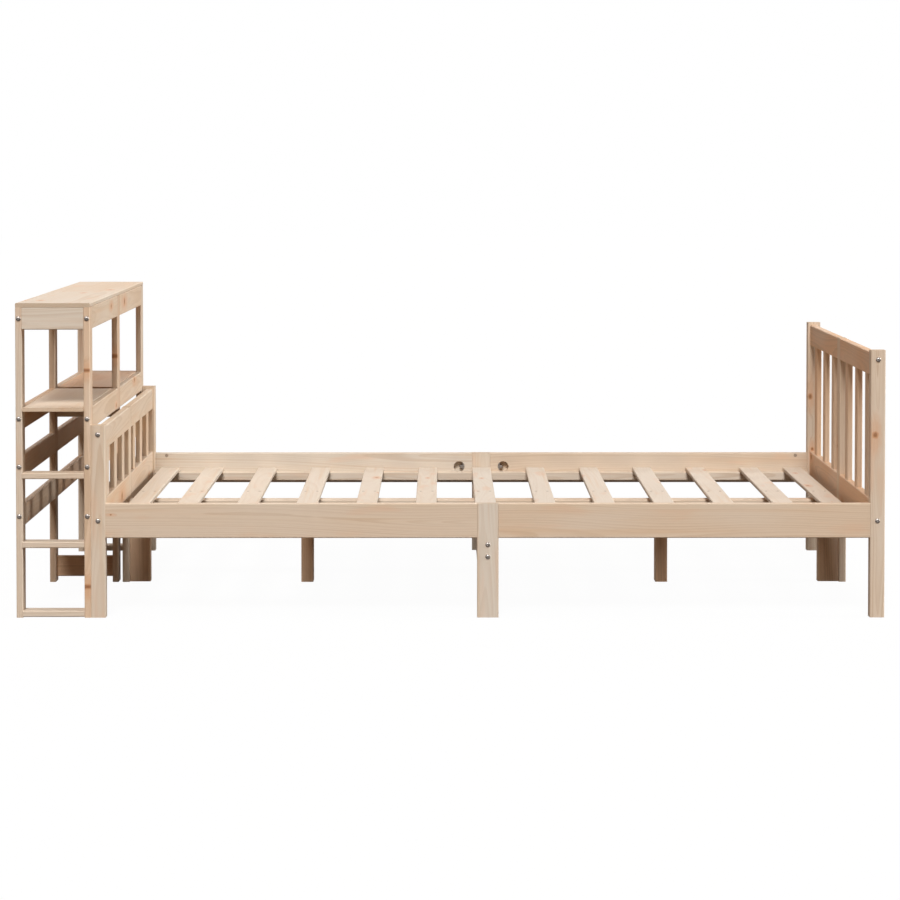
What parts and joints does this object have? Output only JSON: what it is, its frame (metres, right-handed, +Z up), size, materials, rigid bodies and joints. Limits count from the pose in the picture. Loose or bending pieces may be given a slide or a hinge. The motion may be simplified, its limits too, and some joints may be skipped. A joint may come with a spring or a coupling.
{
  "type": "wooden bed",
  "caption": "Pine bed frame with spindle end panels, slatted base, split side rails on mid legs, and an open bookcase standing against the lower panel.",
  "frame": {"origin": "on the floor, under the middle of bed and bookcase together", "axes": "+X along the bed towards the taller end panel, +Y across it, +Z up"},
  "size_m": [2.26, 1.464, 0.82],
  "materials": {
    "pine": "bare planed pine",
    "steel": "bright zinc"
  },
  "bodies": {
    "root": {"beam_end_legs": "pine", "bed_slat_middle": "pine", "bed_slats_low_half": "pine", "bed_slats_tall_half": "pine", "bookcase_apron_far": "pine", "bookcase_apron_mid": "pine", "bookcase_apron_near": "pine", "bookcase_bolts": "steel", "bookcase_mid_foot_board": "pine", "bookcase_mid_shelf_rail": "pine", "bookcase_post_far_bed": "pine", "bookcase_post_far_outer": "pine", "bookcase_post_mid_bed": "pine", "bookcase_post_mid_outer": "pine", "bookcase_post_near_bed": "pine", "bookcase_post_near_outer": "pine", "bookcase_rails_bed": "pine", "bookcase_rails_outer": "pine", "bookcase_rungs_far": "pine", "bookcase_rungs_near": "pine", "bookcase_shelf_far": "pine", "bookcase_shelf_near": "pine", "bookcase_top_far": "pine", "bookcase_top_near": "pine", "centre_beam_low": "pine", "centre_beam_tall": "pine", "centre_legs": "pine", "cross_beam": "pine", "cross_beam_bolts": "steel", "low_bottom_rail_far": "pine", "low_bottom_rail_near": "pine", "low_centre_stile": "pine", "low_panel_spindles": "pine", "low_post_far": "pine", "low_post_near": "pine", "low_top_rail_far": "pine", "low_top_rail_near": "pine", "mid_leg_far": "pine", "mid_leg_near": "pine", "mid_leg_nuts": "steel", "mid_leg_rods": "steel", "mid_leg_washers": "steel", "panel_bolts": "steel", "side_rail_barrel_nuts": "steel", "side_rail_bolts": "steel", "side_rail_far_low": "pine", "side_rail_far_tall": "pine", "side_rail_near_low": "pine", "side_rail_near_tall": "pine", "slat_ledgers_far": "pine", "slat_ledgers_near": "pine", "slat_packers": "pine", "tall_bottom_rail_far": "pine", "tall_bottom_rail_near": "pine", "tall_centre_stile": "pine", "tall_panel_spindles": "pine", "tall_post_far": "pine", "tall_post_near": "pine", "tall_top_rail_far": "pine", "tall_top_rail_near": "pine"}
  },
  "joints": []
}
